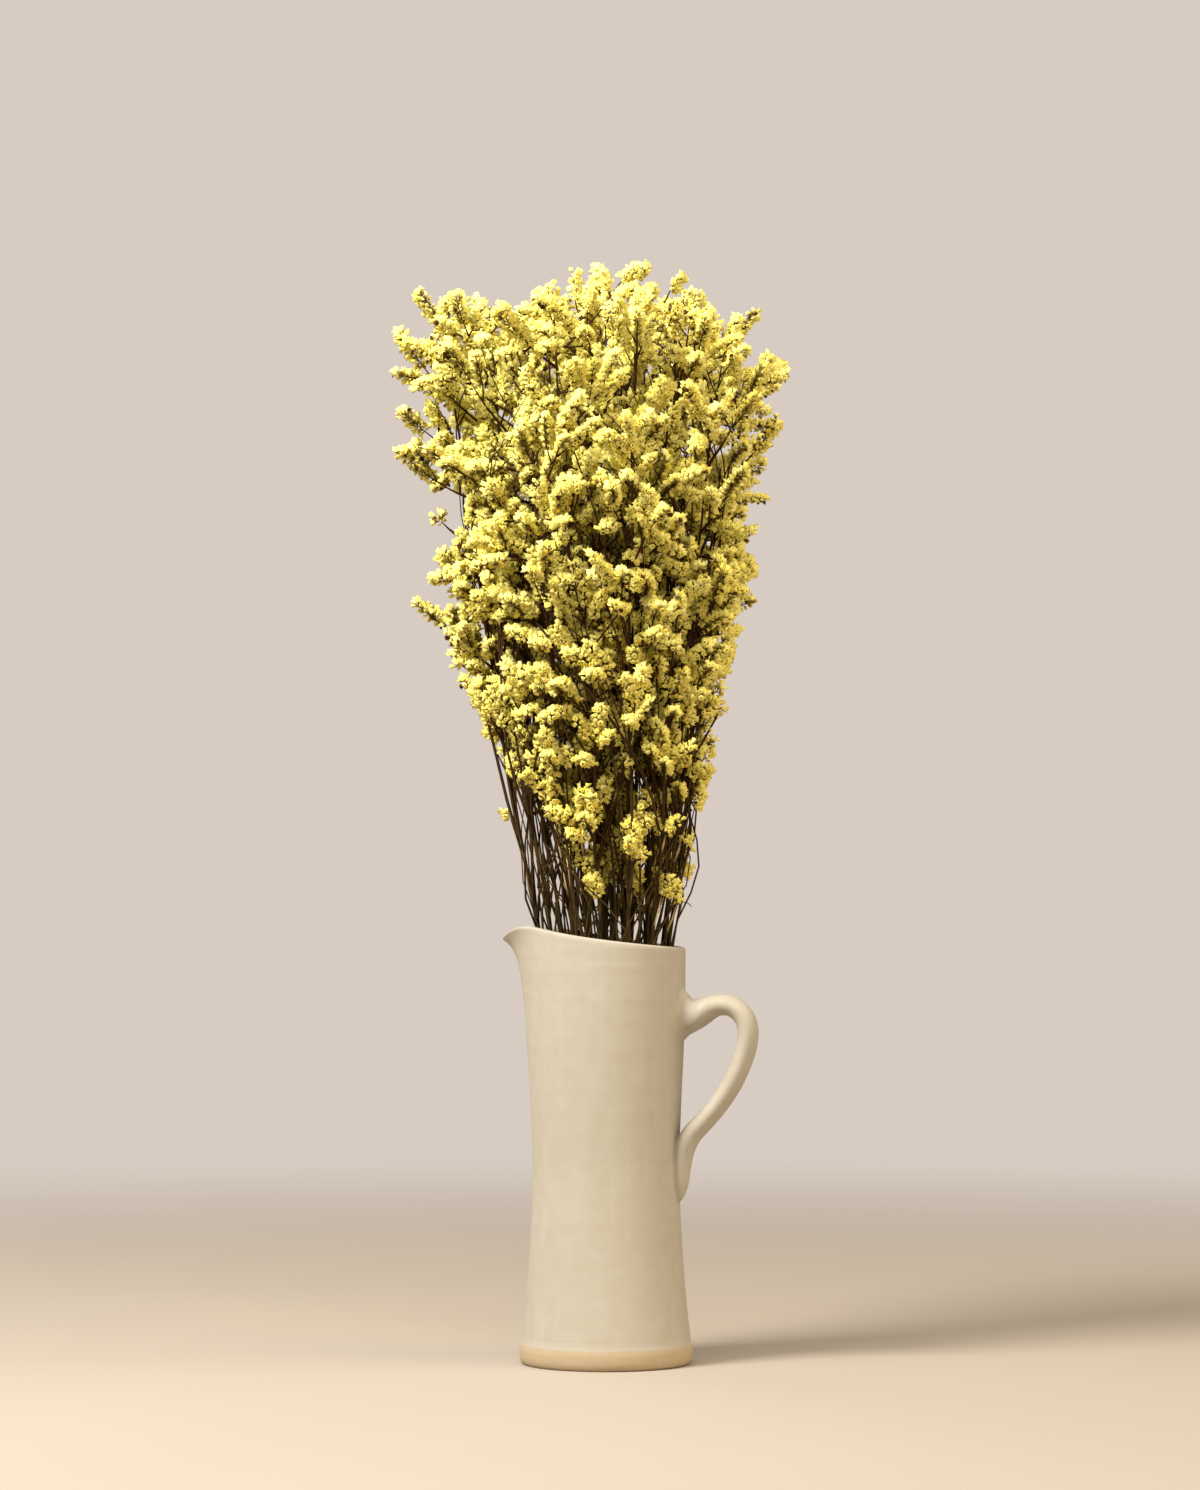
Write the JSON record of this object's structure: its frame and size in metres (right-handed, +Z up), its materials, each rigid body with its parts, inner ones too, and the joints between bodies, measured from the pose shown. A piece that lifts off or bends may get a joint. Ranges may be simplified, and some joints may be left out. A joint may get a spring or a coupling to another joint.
{
  "type": "dried statice in a pitcher",
  "caption": "Big bunch of dried yellow statice standing in a tall cream stoneware pitcher with a spout and a loop handle.",
  "frame": {"origin": "centre of the pitcher's flat foot, where it stands", "axes": "+Z up, along the stems; +X towards the handle; -X towards the spout"},
  "size_m": [0.2402, 0.2415, 0.68],
  "materials": {
    "cream_stoneware": "matte cream glaze over a bare tan foot",
    "dried_statice": "papery yellow florets on dull brown stems"
  },
  "bodies": {
    "root": {"pitcher": "cream_stoneware", "spray_01": "dried_statice", "spray_02": "dried_statice", "spray_03": "dried_statice", "spray_04": "dried_statice", "spray_05": "dried_statice", "spray_06": "dried_statice", "spray_07": "dried_statice", "spray_08": "dried_statice", "spray_09": "dried_statice", "spray_10": "dried_statice", "spray_11": "dried_statice", "spray_12": "dried_statice", "spray_13": "dried_statice", "spray_14": "dried_statice", "spray_15": "dried_statice", "spray_16": "dried_statice", "spray_17": "dried_statice", "spray_18": "dried_statice", "spray_19": "dried_statice", "spray_20": "dried_statice", "spray_21": "dried_statice", "spray_22": "dried_statice", "spray_23": "dried_statice", "spray_24": "dried_statice", "spray_25": "dried_statice", "spray_26": "dried_statice", "spray_27": "dried_statice", "spray_28": "dried_statice"}
  },
  "joints": []
}
